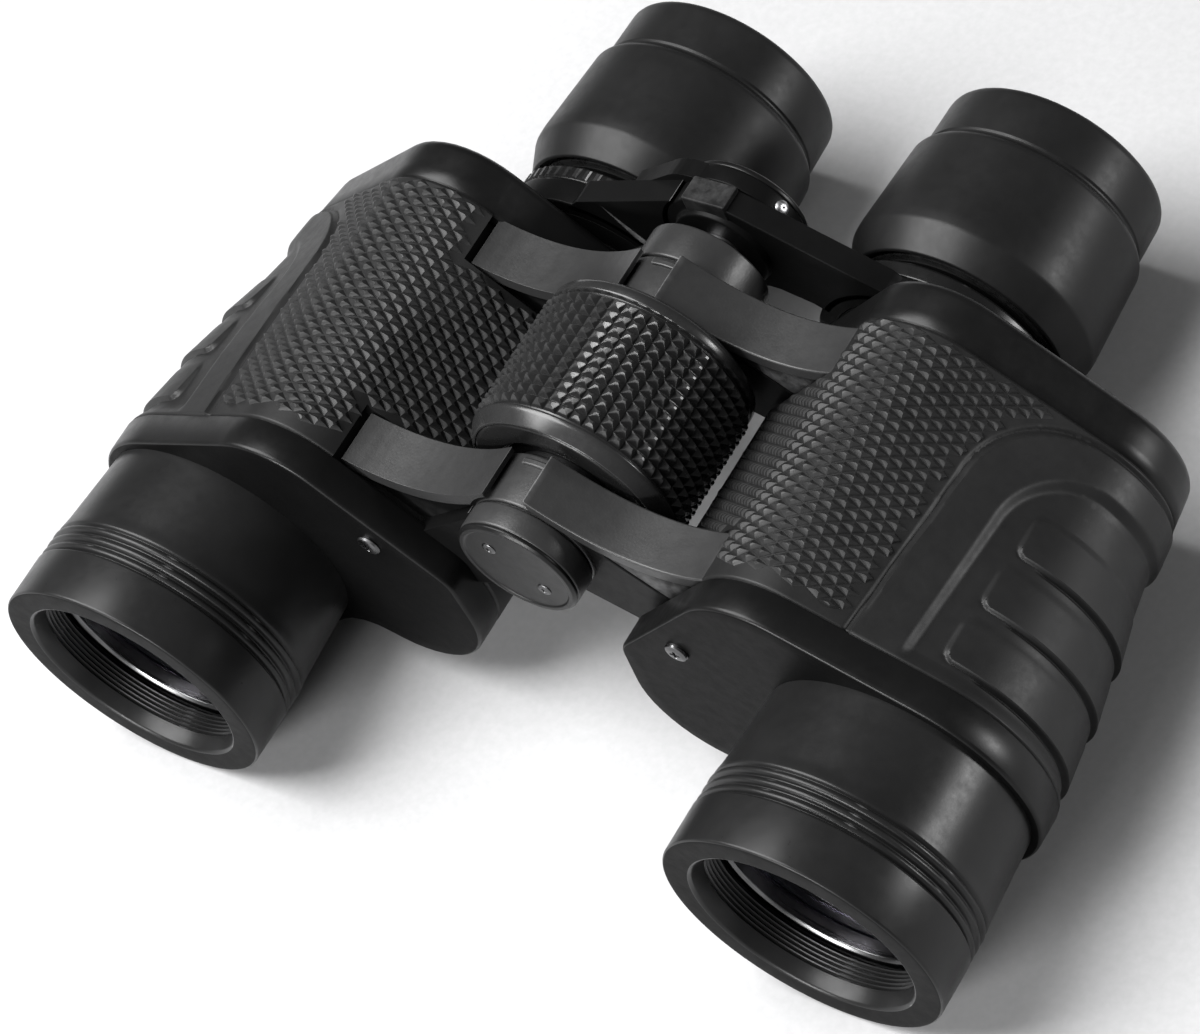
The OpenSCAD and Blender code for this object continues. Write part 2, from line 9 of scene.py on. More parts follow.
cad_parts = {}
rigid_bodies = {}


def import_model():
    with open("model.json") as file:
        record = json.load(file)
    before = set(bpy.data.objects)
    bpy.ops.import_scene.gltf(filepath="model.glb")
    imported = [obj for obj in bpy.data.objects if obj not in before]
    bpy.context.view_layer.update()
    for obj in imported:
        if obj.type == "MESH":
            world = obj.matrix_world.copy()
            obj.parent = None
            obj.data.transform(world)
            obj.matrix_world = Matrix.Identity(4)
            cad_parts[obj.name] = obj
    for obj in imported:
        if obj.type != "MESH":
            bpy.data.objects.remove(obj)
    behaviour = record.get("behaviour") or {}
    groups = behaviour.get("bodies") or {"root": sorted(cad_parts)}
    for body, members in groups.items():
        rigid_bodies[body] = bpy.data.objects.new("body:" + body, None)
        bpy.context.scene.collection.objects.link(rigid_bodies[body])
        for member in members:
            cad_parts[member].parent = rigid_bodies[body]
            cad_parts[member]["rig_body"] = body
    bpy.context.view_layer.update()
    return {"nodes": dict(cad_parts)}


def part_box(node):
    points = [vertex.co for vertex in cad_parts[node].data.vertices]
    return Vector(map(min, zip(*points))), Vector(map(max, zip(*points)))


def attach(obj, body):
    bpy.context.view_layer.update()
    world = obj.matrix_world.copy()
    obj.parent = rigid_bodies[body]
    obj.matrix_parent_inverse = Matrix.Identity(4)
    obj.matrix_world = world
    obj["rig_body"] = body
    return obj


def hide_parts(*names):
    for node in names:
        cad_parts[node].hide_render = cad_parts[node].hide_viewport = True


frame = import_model()

# ---- places and sizes ----
# Pieces are worked out in millimetres in one barrel's own frame: x from the hinge axis,
# y from the front rims and z from the hinge axis. side is 1 for the left barrel (+X), -1 for the right.

MM = 0.001
WORLD_STRENGTH = 0.13
SIDES = {"left": 1, "right": -1}

tube_low, tube_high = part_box("objective_tube_left")
cup_low, cup_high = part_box("eyecup_rubber_left")
axle_low, axle_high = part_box("hinge_axle")
grip_low, grip_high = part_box("wheel_grip")
FRONT_Y = tube_low.y
HINGE_Z = (axle_low.z + axle_high.z) / 2


def middle_of(low, high):
    """Axis (x, z) of a turned node, in barrel millimetres."""
    return ((low.x + high.x) / 2 / MM, ((low.z + high.z) / 2 - HINGE_Z) / MM)


OBJECTIVE = middle_of(tube_low, tube_high)
EYE = middle_of(cup_low, cup_high)
HINGE = (0.0, 0.0)
RIM_R = (tube_high.x - tube_low.x) / 2 / MM
CUP_R = (cup_high.x - cup_low.x) / 2 / MM
WHEEL_R = (grip_high.x - grip_low.x) / 2 / MM
WHEEL_FRONT = (grip_low.y - FRONT_Y) / MM - 0.2
WHEEL_REAR = (grip_high.y - FRONT_Y) / MM + 0.2
PLATE_Y = (tube_high.y - FRONT_Y) / MM - 2.0
ARMOUR_FRONT = (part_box("armour_left")[0].y - FRONT_Y) / MM
ARMOUR_REAR = (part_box("armour_left")[1].y - FRONT_Y) / MM
CUP_FRONT = (cup_low.y - FRONT_Y) / MM
CUP_REAR = (cup_high.y - FRONT_Y) / MM
OUTER_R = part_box("front_cover_left")[1].x / MM - OBJECTIVE[0] - 0.06
TOP_LOBE = (47.25, -1.25, 15.0)
CORNER_LOBE = (22.2, -13.4, 5.4)
INNER_LOBE = (EYE[0], EYE[1], 16.2)
FILLET_R = 10.0
SCREW = (30.4, -5.0)
KNUCKLE_R = 11.0
ARM_Y = (38.3, 79.3)
ARM_WIDTH = 9.4
ARM_END_X = 35.5
BRIDGE_Y = 100.0
BRIDGE_T = 4.6
BRIDGE_REAR = BRIDGE_Y + BRIDGE_T
HUB_END_Y = 108.0
EYE_RING_R = 20.2
EYE_BORE_R = 17.02
AXLE_CLEAR_R = 6.1
HUB_BLOCK = [(-4.6, 11.3), (3.8, 11.5), (3.8, 6.0), (-4.6, 6.0)]


# ---- mesh helpers ----

def to_world(point, side=1):
    return Vector((side * point[0] * MM, FRONT_Y + point[1] * MM, HINGE_Z + point[2] * MM))


def merged(*parts):
    """Several (points, faces) sets as one."""
    points, faces = [], []
    for part_points, part_faces in parts:
        start = len(points)
        points.extend(part_points)
        faces.extend(tuple(start + i for i in face) for face in part_faces)
    return points, faces


def piece(name, shape, material, stands_for, side=1, crease=32, extra=False):
    """Makes the mesh (points, faces) an object that stands for CAD nodes and rides on their body.

    An extra piece is a second one for the same nodes, so it replaces nothing itself.
    """
    points, faces = shape
    mesh = bpy.data.meshes.new(name)
    mesh.from_pydata([to_world(p, side) for p in points], [], faces)
    bm = bmesh.new()
    bm.from_mesh(mesh)
    bmesh.ops.recalc_face_normals(bm, faces=bm.faces)
    for face in bm.faces:
        face.smooth = True
    for edge in bm.edges:
        edge.smooth = len(edge.link_faces) == 2 and edge.calc_face_angle() < math.radians(crease)
    bm.to_mesh(mesh)
    bm.free()
    mesh.materials.append(material)
    obj = bpy.data.objects.new(name, mesh)
    bpy.context.scene.collection.objects.link(obj)
    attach(obj, frame["nodes"][stands_for[0]]["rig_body"])
    if not extra:
        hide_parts(*stands_for)
    return obj


def bevelled(obj, width, segments=2, angle=30):
    """Rounds the object's sharp edges, width in millimetres."""
    bevel = obj.modifiers.new("edges", "BEVEL")
    bevel.width = width * MM
    bevel.segments = segments
    bevel.limit_method = "ANGLE"
    bevel.angle_limit = math.radians(angle)
    bevel.harden_normals = True
    for edge in obj.data.edges:
        edge.use_edge_sharp = False
    return obj


def rounded(outline, radius, steps=4, closed=True):
    """The outline with its corners rounded; a corner given as (a, b, 0) stays sharp."""
    result = []
    count = len(outline)
    for i, corner in enumerate(outline):
        r = corner[2] if len(corner) == 3 else radius
        here = Vector(corner[:2])
        if r == 0 or (not closed and i in (0, count - 1)):
            result.append(tuple(here))
            continue
        to_last = Vector(outline[i - 1][:2]) - here
        to_next = Vector(outline[(i + 1) % count][:2]) - here
        cut = min(r, 0.45 * to_last.length, 0.45 * to_next.length)
        start = here + to_last.normalized() * cut
        end = here + to_next.normalized() * cut
        for k in range(steps + 1):
            t = k / steps
            result.append(tuple(start * (1 - t) ** 2 + here * 2 * t * (1 - t) + end * t ** 2))
    return result


def turned(profile, axis, steps=144):
    """A profile [(r, y), ...] turned round an axis: closed if no point is on the axis."""
    points, rings, faces = [], [], []
    angles = [2 * math.pi * i / steps for i in range(steps)]
    for r, y in profile:
        if r < 1e-6:
            rings.append([len(points)] * steps)
            points.append((axis[0], y, axis[1]))
            continue
        rings.append(list(range(len(points), len(points) + steps)))
        points.extend((axis[0] + r * math.cos(a), y, axis[1] + r * math.sin(a)) for a in angles)
    closed = all(r > 1e-6 for r, _ in profile)
    for j in range(len(rings) if closed else len(rings) - 1):
        a, b = rings[j], rings[(j + 1) % len(rings)]
        for i in range(steps):
            k = (i + 1) % steps
            corners = [a[i], a[k], b[k], b[i]]
            faces.append(tuple(dict.fromkeys(corners)))
    return points, faces


def lofted(rings, closed=False):
    """Rings of points with equal counts, skinned; capped with flat ends if not closed."""
    points = [p for ring in rings for p in ring]
    count = len(rings[0])
    faces = []
    for j in range(len(rings) if closed else len(rings) - 1):
        a = j * count
        b = ((j + 1) % len(rings)) * count
        faces.extend((a + i, a + (i + 1) % count, b + (i + 1) % count, b + i) for i in range(count))
    if not closed:
        faces.append(tuple(range(count)))
        faces.append(tuple(range(len(points) - 1, len(points) - count - 1, -1)))
    return points, faces


def extruded(outline, start, end):
    """An outline [(x, z), ...] pushed along y."""
    return lofted([[(x, start, z) for x, z in outline], [(x, end, z) for x, z in outline]])


def arc(centre, r, start, end, count):
    """Points round a centre, angles in degrees."""
    angles = np.radians(np.linspace(start, end, count))
    return [(centre[0] + r * math.cos(a), centre[1] + r * math.sin(a)) for a in angles]


def smooth_step(x, start, end):
    """0 before start, 1 past end, and a soft ramp between; start may be the larger."""
    t = np.clip((np.asarray(x, float) - start) / (end - start), 0, 1)
    return t * t * (3 - 2 * t)


# ---- outline of the prism housing ----

def run_angle(a, b):
    """Direction of the outward normal of the straight run from circle a to circle b, in degrees."""
    d = np.array(b[:2]) - np.array(a[:2])
    length = np.linalg.norm(d)
    u = d / length
    k = (a[2] - b[2]) / length
    n = u * k + np.array([u[1], -u[0]]) * math.sqrt(1 - k * k)
    return math.degrees(math.atan2(n[1], n[0]))


def nestled(a, b, f):
    """Centre of the circle of radius f that touches the circles a and b from below."""
    start, end = np.array(a[:2]), np.array(b[:2])
    d = np.linalg.norm(end - start)
    da, db = a[2] + f, b[2] + f
    along = (da * da - db * db + d * d) / (2 * d)
    u = (end - start) / d
    return start + u * along - np.array([-u[1], u[0]]) * math.sqrt(da * da - along * along)


def direction(a, b):
    """Direction from a to b in degrees."""
    return math.degrees(math.atan2(b[1] - a[1], b[0] - a[0]))


def spread(start, end, step):
    """Evenly spaced values from start to end, about a step apart."""
    return list(np.linspace(start, end, max(2, round(abs(end - start) / step) + 1)))


SLOPE_STEPS = [0.0, 0.3, 0.5, 0.62, 0.74, 0.9, 1.2] + spread(2.0, 26.0, 0.8)


def housing_outline(outer_r, fine=True):
    """Points, outward normals and distances u of the housing's outline.

    u runs along the outline from the top of the housing: towards the hinge it grows.
    """
    outer = (OBJECTIVE[0], OBJECTIVE[1], outer_r)
    waist = nestled(INNER_LOBE, outer, FILLET_R)
    to_top = run_angle(outer, TOP_LOBE)
    to_corner = run_angle(TOP_LOBE, CORNER_LOBE)
    to_inner = run_angle(CORNER_LOBE, INNER_LOBE)
    at_inner = direction(INNER_LOBE, waist)
    at_outer = direction(outer, waist)
    density = 1 if fine else 3
    points, normals = [], []

    def stretch(circle, start, end, count, inward=False):
        count = max(4, count // density)
        for a in np.radians(np.linspace(start, end, count)):
            n = np.array([math.cos(a), math.sin(a)])
            points.append(np.array(circle[:2]) + circle[2] * n)
            normals.append(-n if inward else n)

    def straight(fractions):
        """Points of the run after the last stretch, filled in once the next stretch is known."""
        gaps.append((len(points), fractions))

    gaps = []
    stretch(outer, at_outer, to_top, 190)
    straight(np.linspace(0, 1, 84 // density + 2)[1:-1])
    stretch(TOP_LOBE, to_top, to_corner, 30)
    run = math.dist(TOP_LOBE[:2], CORNER_LOBE[:2])
    run = math.sqrt(run ** 2 - (TOP_LOBE[2] - CORNER_LOBE[2]) ** 2)
    slope = [s / run for s in SLOPE_STEPS if 0.1 < s < run - 0.3]
    straight(slope if fine else slope[::3])
    stretch(CORNER_LOBE, to_corner, to_inner, 14)
    straight(np.linspace(0, 1, 12 // density + 2)[1:-1])
    stretch(INNER_LOBE, to_inner, at_inner + 360, 48)
    stretch((waist[0], waist[1], FILLET_R), at_inner + 180, at_outer + 180, 16, inward=True)
    filled_points, filled_normals = [], []
    for i, (p, n) in enumerate(zip(points, normals)):
        for place, fractions in gaps:
            if place == i:
                last = points[i - 1]
                filled_points.extend(last + (p - last) * t for t in fractions)
                filled_normals.extend(n for _ in fractions)
        filled_points.append(p)
        filled_normals.append(n)
    points = np.array(filled_points)
    normals = np.array(filled_normals)
    steps = np.linalg.norm(np.diff(points, axis=0), axis=1)
    u = np.concatenate([[0], np.cumsum(steps)])
    highest = int(np.argmax(points[:, 1]))
    near = slice(highest - 5, highest + 6)
    tilt = np.degrees(np.arctan2(normals[near, 1], normals[near, 0]))
    return points, normals, u - np.interp(90.0, tilt, u[near])


def barrel_r(y):
    """Radius of the outer lobe, which gets smaller towards the eyepieces."""
    places = [36, 37.2, 41, 51, 61.5, 78, 83, 88.5, 98]
    return OUTER_R - np.interp(y, places, [0, 0.6, 0.9, 1.5, 2.9, 5.6, 5.9, 6.4, 7.5])


# ---- relief of the rubber armour ----

# Arches open to the front: centre (u, y), radii, and how far the side leans for each millimetre of y.
THUMB_PANEL = ((-36.5, 70.0), (17.4, 16.6), 0.075)
FINGER_RECESS = ((-41.0, 66.0), (14.0, 14.0), 0.06)
PAD_FRONTS = (41.4, 52.2, 63.0)
PAD_LENGTH = 8.0
PAD_END_U = -30.6
NOTCH_X = 35.9


def thumb_edge(y, inset=0.0):
    """u of the raised thumb panel's edge: a straight side with a round corner at the rear."""
    (centre_u, centre_y), (a, b), slant = THUMB_PANEL
    a, b = a - inset, b - inset
    if y <= centre_y:
        return centre_u + a + slant * (centre_y - y)
    if y >= centre_y + b:
        return -200.0
    return centre_u + a * math.sqrt(1 - ((y - centre_y) / b) ** 2)


def inside_arch(u, y, centre, radii, slant):
    """Distance inside an arch open to the front, negative outside; u is an array."""
    cu, cy = centre
    a, b = radii
    if y <= cy:
        return (cu + a + slant * (cy - y)) - u
    ratio = np.sqrt(np.maximum((u - cu) / a, 0) ** 2 + ((y - cy) / b) ** 2)
    return (1 - ratio) * min(a, b)


def armour_relief(u, x, z, y):
    """Height of the rubber over the plain outline at each point of a slice."""
    height = np.zeros_like(u)
    underside = smooth_step(u, -92, -84)
    thumb = inside_arch(u, y, *THUMB_PANEL)
    height += 0.5 * smooth_step(thumb, -0.15, 0.35) * underside
    height -= 0.4 * np.exp(-((thumb + 0.55) / 0.38) ** 2) * underside
    fingers = inside_arch(u, y, *FINGER_RECESS)
    recess = smooth_step(fingers, -1.1, 1.1) * smooth_step(u, -84, -76) * smooth_step(y, 37.5, 40.5)
    height -= 0.95 * recess
    for front in PAD_FRONTS:
        if front - 1.2 <= y <= front + PAD_LENGTH + 1:
            edge = PAD_END_U - 0.07 * (front - PAD_FRONTS[0])
            across = smooth_step(u, edge + 0.3, edge - 0.5) * smooth_step(u, -80, -73)
            corner = 1.4 * np.clip(1 + (u - edge) / 1.8, 0, 1) ** 2
            along = smooth_step(y - corner, front - 0.2, front + 0.35)
            fall = 1 - 0.72 * np.clip((y - front) / PAD_LENGTH, 0, 1)
            rear = front + PAD_LENGTH
            fall *= smooth_step(y + corner, rear + 0.9, rear - 0.4)
            height += 0.85 * across * along * fall
            groove = math.exp(-((y - front + 0.42) / 0.26) ** 2)
            height -= 0.42 * groove * smooth_step(u, -35.5, -38.5) * smooth_step(u, -80, -74)
    for start in ARM_Y:
        low = start - 1.6 if start == ARM_Y[0] else start - 0.35
        high = start + ARM_WIDTH + 0.35
        along = smooth_step(y, low - 0.12, low) * smooth_step(y, high + 0.12, high)
        height -= 3.0 * along * smooth_step(x, NOTCH_X + 0.12, NOTCH_X) * smooth_step(z, -15, -13)
    edge = min(y - ARMOUR_FRONT, ARMOUR_REAR - y)
    height -= 0.45 * (1 - smooth_step(edge, 0, 0.6))
    return height


def armour_rows():
    """y of each slice of the armour, closer together where the relief has steps across y."""
    rows = spread(ARMOUR_FRONT, ARMOUR_REAR, 0.62) + spread(70, 87.5, 0.4)
    for front in PAD_FRONTS:
        rows += spread(front - 1.0, front + 0.6, 0.13)
    for y in (ARM_Y[0] + ARM_WIDTH + 0.35, ARM_Y[1] - 0.35):
        rows += spread(y - 0.24, y + 0.24, 0.12)
    rows += spread(ARMOUR_FRONT, ARMOUR_FRONT + 0.7, 0.14) + spread(ARMOUR_REAR - 0.7, ARMOUR_REAR, 0.14)
    kept = []
    for y in sorted(rows):
        if not kept or y - kept[-1] > 0.06:
            kept.append(y)
    return kept


def armour_skin():
    """The rubber sleeve: its outside with the relief, and a plain inside."""
    rings = []
    for y in armour_rows():
        points, normals, u = housing_outline(barrel_r(y))
        height = armour_relief(u, points[:, 0], points[:, 1], y)
        placed = points + normals * height[:, None]
        rings.append([(x, y, z) for x, z in placed])
    for y in (ARMOUR_REAR, ARMOUR_FRONT):
        points, normals, u = housing_outline(barrel_r(y))
        placed = points - normals * 3.6
        rings.append([(x, y, z) for x, z in placed])
    return lofted(rings, closed=True)


# Lattice of the pyramids on the armour: its two steps (u, y), then each pyramid's rings as
# (share of its width, height over the rubber).
STEP_A = np.array([1.85, -1.3])
STEP_B = np.array([2.35, 0.85])
PYRAMID_RINGS = ((1.0, -0.3), (0.93, 0.0), (0.5, 0.42), (0.2, 0.58))
GRIP_Y = (39.6, 88.0)
GRIP_END_U = 36.0


def grip_start(y):
    """u where the textured part begins, just inside the thumb panel's edge."""
    return max(thumb_edge(y, -1.5) + 0.2, -28.5)


def in_grip(u, y):
    """Whether a pyramid centred here is on the textured part of the armour."""
    if not GRIP_Y[0] + 0.3 < y < GRIP_Y[1] - 0.3 or u > GRIP_END_U:
        return False
    if u < grip_start(y) + 0.35:
        return False
    for start in ARM_Y:
        if start - 1.6 < y < start + ARM_WIDTH + 1.6 and u > 11.0:
            return False
    return True


def armour_pyramids():
    """The texture: one small cut-off pyramid at each lattice point on the textured part."""
    points, faces = [], []
    slices = {}

    def on_surface(u, y, height):
        key = round(y, 1)
        if key not in slices:
            slices[key] = housing_outline(barrel_r(key))
        outline, normals, us = slices[key]
        place = [np.interp(u, us, outline[:, k]) for k in (0, 1)]
        normal = [np.interp(u, us, normals[:, k]) for k in (0, 1)]
        return (place[0] + normal[0] * height, y, place[1] + normal[1] * height)

    corners = [(-0.5, -0.5), (0.5, -0.5), (0.5, 0.5), (-0.5, 0.5)]
    for i in range(-40, 41):
        for j in range(-40, 41):
            centre = np.array([0.0, 64.0]) + STEP_A * i + STEP_B * j
            if not in_grip(*centre):
                continue
            start = len(points)
            for scale, height in PYRAMID_RINGS:
                for a, b in corners:
                    u, y = centre + (STEP_A * a + STEP_B * b) * scale
                    y = min(max(y, GRIP_Y[0]), GRIP_Y[1])
                    points.append(on_surface(max(u, grip_start(y)), y, height))
            faces.append((start, start + 1, start + 2, start + 3))
            for ring in range(3):
                a = start + 4 * ring
                faces.extend((a + k, a + (k + 1) % 4, a + 4 + (k + 1) % 4, a + 4 + k) for k in range(4))
            faces.append((start + 15, start + 14, start + 13, start + 12))
    return points, faces


# ---- covers ----

FULL_WIDTH_Y = 30


def cover_ring(y, grow, r_at=None):
    """The housing's outline at y, grown; its outer lobe is as wide as it is at r_at."""
    points, normals, _ = housing_outline(barrel_r(y if r_at is None else r_at), fine=False)
    return [(x, y, z) for x, z in points + normals * grow]


def front_cover():
    """Flat plate with a rounded edge and a short skirt over the armour's front end."""
    edge = [(0.0, -0.75), (0.08, -0.42), (0.25, -0.18), (0.5, -0.04), (0.8, 0.0)]
    rings = [cover_ring(PLATE_Y, -3.0, FULL_WIDTH_Y)]
    rings += [cover_ring(PLATE_Y + y, grow, FULL_WIDTH_Y) for y, grow in edge]
    rings.append(cover_ring(ARMOUR_FRONT - 0.2, 0.0, FULL_WIDTH_Y))
    rings.append(cover_ring(ARMOUR_FRONT + 0.4, -0.5, FULL_WIDTH_Y))
    return lofted(rings)


def rear_cover():
    """Cover behind the armour, with a well rounded rear edge."""
    rear = (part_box("rear_cover_left")[1].y - FRONT_Y) / MM - 1.2
    rings = [cover_ring(ARMOUR_REAR - 0.3, -0.6), cover_ring(ARMOUR_REAR + 0.15, -0.3)]
    rings += [cover_ring(y, -0.12) for y in spread(ARMOUR_REAR + 0.4, rear - 2.0, 2.0)]
    for a in np.radians(np.linspace(15, 90, 6)):
        rings.append(cover_ring(rear - 1.9 + 1.9 * math.sin(a), -0.12 - 1.9 * (1 - math.cos(a))))
    rings.append(cover_ring(rear, -4.2))
    return lofted(rings)


# ---- turned pieces ----

def objective_tube():
    """Rim, three ridges and the run back to the plate, with threads in front of the lens seat."""
    r = RIM_R
    ridges = []
    for k in range(3):
        y = 9.5 + 1.75 * k
        ridges += [(r - 0.75, y, 0.15), (r - 0.1, y + 0.45, 0.5),
                   (r - 0.1, y + 1.1, 0.5), (r - 0.75, y + 1.5, 0.15)]
    outside = [(19.3, 0.35, 0.3), (19.7, 0.0, 0.2), (r - 1.2, 0.0, 0), (r, 0.0, 1.5), (r, 9.1, 0.25)]
    outside += ridges
    outside += [(r - 0.25, 15.0, 0.5), (r - 0.55, 17.0, 1.0),
                (22.9, PLATE_Y - 0.6, 0.5), (22.8, PLATE_Y + 2.0, 0)]
    inside = [(20.5, PLATE_Y + 2.0, 0), (18.4, PLATE_Y + 2.0, 0), (18.4, 20, 0), (20.05, 20, 0),
              (20.05, 7.6, 0)]
    threads = []
    for k in range(6):
        y = 7.0 - 0.75 * k
        threads += [(18.95, y, 0.05), (18.45, y - 0.38, 0.05)]
    return turned(rounded(outside + inside + threads, 0.2), OBJECTIVE, 192)


def objective_ring():
    """Ring in the bore that holds the objective."""
    profile = [(18.0, 8.3), (18.6, 7.75), (20.0, 7.7), (20.0, 11.3), (18.0, 10.9)]
    return turned(rounded(profile, 0.18), OBJECTIVE, 144)


def lens_shape(r, front, edge, rise, axis, rear):
    """A lens: domed front face with its rim at y = front, and a flat rear face."""
    dome = [(r * i / 16, front - rise * (1 - (i / 16) ** 2)) for i in range(17)]
    return turned(dome + [(r, edge), (0.0, rear)], axis, 144)


def eyecup():
    """Flared cup with a soft crease before its rounded lip."""
    lip = CUP_R - 2.25
    outside = [(19.35, CUP_FRONT, 0), (19.9, CUP_FRONT, 0.3), (CUP_R - 0.1, CUP_FRONT + 5.3, 0.45),
               (CUP_R, CUP_FRONT + 7.0, 1.2), (CUP_R - 0.95, 133.6, 1.1), (lip - 0.1, 134.7, 0.3),
               (lip - 0.1, 135.2, 0.3), (lip + 0.1, 135.5, 0.3), (lip - 0.15, CUP_REAR, 2.2)]
    inside = [(lip - 4.0, CUP_REAR, 1.6), (15.2, CUP_REAR - 3.0, 0.6), (15.2, CUP_REAR - 4.9, 0),
              (19.35, 140.05, 0)]
    return turned(rounded(outside + inside, 0.3, steps=6), EYE, 160)


def collar():
    """Ring behind the bridge, round the root of the eyepiece."""
    start, end = BRIDGE_REAR + 0.2, HUB_END_Y - 0.1
    profile = [(17.1, start), (19.4, start), (19.75, start + 0.3), (19.75, start + 2.6),
               (19.3, end), (17.1, end)]
    return turned(rounded(profile, 0.15), EYE, 144)


def ribs_round(axis, r, start, end, count, height, width=0.55):
    """Small ribs round a ring, each a flat-topped bar along y."""
    parts = []
    for k in range(count):
        a = 2 * math.pi * k / count
        half = math.pi / count
        bar = []
        for dr, share in ((-0.3, width), (0.0, width), (height, width * 0.6)):
            ring = []
            for s, y in ((-share, start), (share, start), (share, end), (-share, end)):
                inset = 0.25 if dr == height else 0.0
                y_in = y + inset if y == start else y - inset
                t = a + s * half
                ring.append((axis[0] + (r + dr) * math.cos(t), y_in, axis[1] + (r + dr) * math.sin(t)))
            bar.append(ring)
        parts.append(lofted(bar))
    return merged(*parts)


# ---- focusing wheel ----

WHEEL_COLUMNS = 48
WHEEL_ROWS = 11


def wheel_core():
    """Hub of the focusing wheel, dished at both ends."""
    front, rear = WHEEL_FRONT, WHEEL_REAR
    profile = [(9.05, front + 1.2), (11.5, front + 1.2), (12.3, front), (16.5, front), (17.0, front + 0.5),
               (17.0, rear - 0.5), (16.5, rear), (12.3, rear), (11.5, rear - 1.2), (9.05, rear - 1.2)]
    return turned(rounded(profile, 0.3), HINGE, 144)


def wheel_grip():
    """Rubber grip: a rim at each end and rows of small pyramids between them."""
    r, front, rear = WHEEL_R, WHEEL_FRONT, WHEEL_REAR
    field_front, field_rear = front + 3.6, rear - 3.6
    floor = r - 1.15
    profile = [(16.9, front + 0.15, 0.1), (17.3, front + 0.1, 0.4), (r - 0.45, front + 2.3, 1.6),
               (r - 0.35, field_front - 0.6, 0.3), (floor - 0.1, field_front - 0.35, 0.15),
               (floor, field_front, 0), (floor, field_rear, 0), (floor - 0.1, field_rear + 0.35, 0.15),
               (r - 0.4, field_rear + 0.6, 0.3), (r - 0.4, rear - 1.2, 0.9), (17.2, rear - 0.15, 0.3),
               (16.9, rear - 0.15, 0)]
    body = turned(rounded(profile, 0.2), HINGE, 192)
    pitch = (field_rear - field_front) / WHEEL_ROWS
    half = math.pi / WHEEL_COLUMNS
    parts = [body]
    for row in range(WHEEL_ROWS):
        y = field_front + pitch * (row + 0.5)
        for column in range(WHEEL_COLUMNS):
            a = math.radians(90 - 4.5) + 2 * half * column
            rings = []
            for scale, height in ((1.0, floor - 0.3), (1.0, floor), (0.46, floor + 0.78), (0.2, r)):
                ring = []
                for da, dy in ((-1, -1), (1, -1), (1, 1), (-1, 1)):
                    t = a + da * half * scale
                    ring.append((height * math.cos(t), y + dy * pitch / 2 * scale, height * math.sin(t)))
                rings.append(ring)
            parts.append(lofted(rings))
    return merged(*parts)


# ---- hinge ----

def arm_top(x):
    """Height of an arm's concave upper face."""
    return 5 + 0.018 * (x - 24.5) ** 2


def strap(a, b):
    """Outline round two circles and the straight runs between them."""
    there = run_angle(a, b)
    back = run_angle(b, a)
    end = there + 360 if there < back else there
    other = back + 360 if back < there else back
    return arc(a, a[2], back, end, 24) + arc(b, b[2], there, other, 24)


def arm_strip(start_x):
    """Outline of an arm's upper strip, from beside the hinge to its notch in the armour."""
    xs = np.linspace(start_x, ARM_END_X, 16)
    under = [(x, arm_top(x) - 2.6) for x in reversed(xs)]
    return [(x, arm_top(x)) for x in xs] + under


def cleared(outline, r, step=0.4):
    """The part of a closed outline outside a circle round the hinge, closed along that circle."""
    fine = []
    for a, b in zip(outline, outline[1:] + outline[:1]):
        count = max(1, round(math.dist(a, b) / step))
        fine += [(a[0] + (b[0] - a[0]) * k / count, a[1] + (b[1] - a[1]) * k / count) for k in range(count)]
    outside = [math.hypot(*p) > r for p in fine]
    first = next(i for i in range(len(fine)) if outside[i] and not outside[i - 1])
    kept = [p for p in fine[first:] + fine[:first] if math.hypot(*p) > r]
    start, end = direction(HINGE, kept[-1]), direction(HINGE, kept[0])
    if abs(end - start) > 180:
        end += math.copysign(360, start - end)
    return kept + arc(HINGE, r, start, end, 14)


def arm_web(y, knuckle):
    """The rib below an arm's strip and the web that runs into this barrel's knuckle."""
    xs = np.linspace(9, 35, 8)
    rib = [(x, arm_top(x) - 1.5) for x in xs] + [(36, 0), (24, -12), (9, -3)]
    web = strap((0, 0, 9.8), (23.5, -13, 6))
    own = (max(knuckle[0] + 0.3, y - 1.8), min(knuckle[1] - 0.3, y + 14))
    start, end = y + 0.9, y + 4.4
    parts = [extruded(rib, y + 1.2, y + 4.6)]
    if knuckle[0] < start and knuckle[1] > end:
        parts.append(extruded(web, start, end))
    elif knuckle[1] < start:
        parts.append(extruded(web, *own))
        parts.append(extruded(cleared(web, KNUCKLE_R + 0.6), own[1] - 0.1, end))
    else:
        parts.append(extruded(cleared(web, KNUCKLE_R + 0.6), start, own[0] + 0.1))
        parts.append(extruded(web, *own))
    return merged(*parts)


def knuckle(start, end):
    """One of the hinge's knuckles, bored for the axle."""
    profile = [(AXLE_CLEAR_R, start), (KNUCKLE_R, start), (KNUCKLE_R, end), (AXLE_CLEAR_R, end)]
    return turned(rounded(profile, 0.45), HINGE, 120)


def oil_pad(y):
    """Small raised pad on top of the knuckle."""
    pad = arc(HINGE, KNUCKLE_R + 0.45, 104, 76, 8) + arc(HINGE, KNUCKLE_R - 0.6, 76, 104, 8)
    return extruded(pad, y, y + 1.3)


def hinge_cap():
    """Cap on the front of the hinge, with a low rim."""
    r = KNUCKLE_R - 0.1
    profile = [(0.0, 33.2), (r - 1.5, 33.2), (r - 1.2, 32.95), (r - 0.5, 32.95), (r, 33.4), (r, 33.85),
               (0.0, 33.85)]
    return turned(rounded(profile, 0.12, closed=False), HINGE, 120)


def cap_marks():
    """Two small screws that hold the cap, plain and unlettered."""
    return merged(*[screw_head(place, 33.2, 1.25, 0.3, -1) for place in ((-3.9, 3.9), (3.9, -3.9))])


# ---- bridge ----

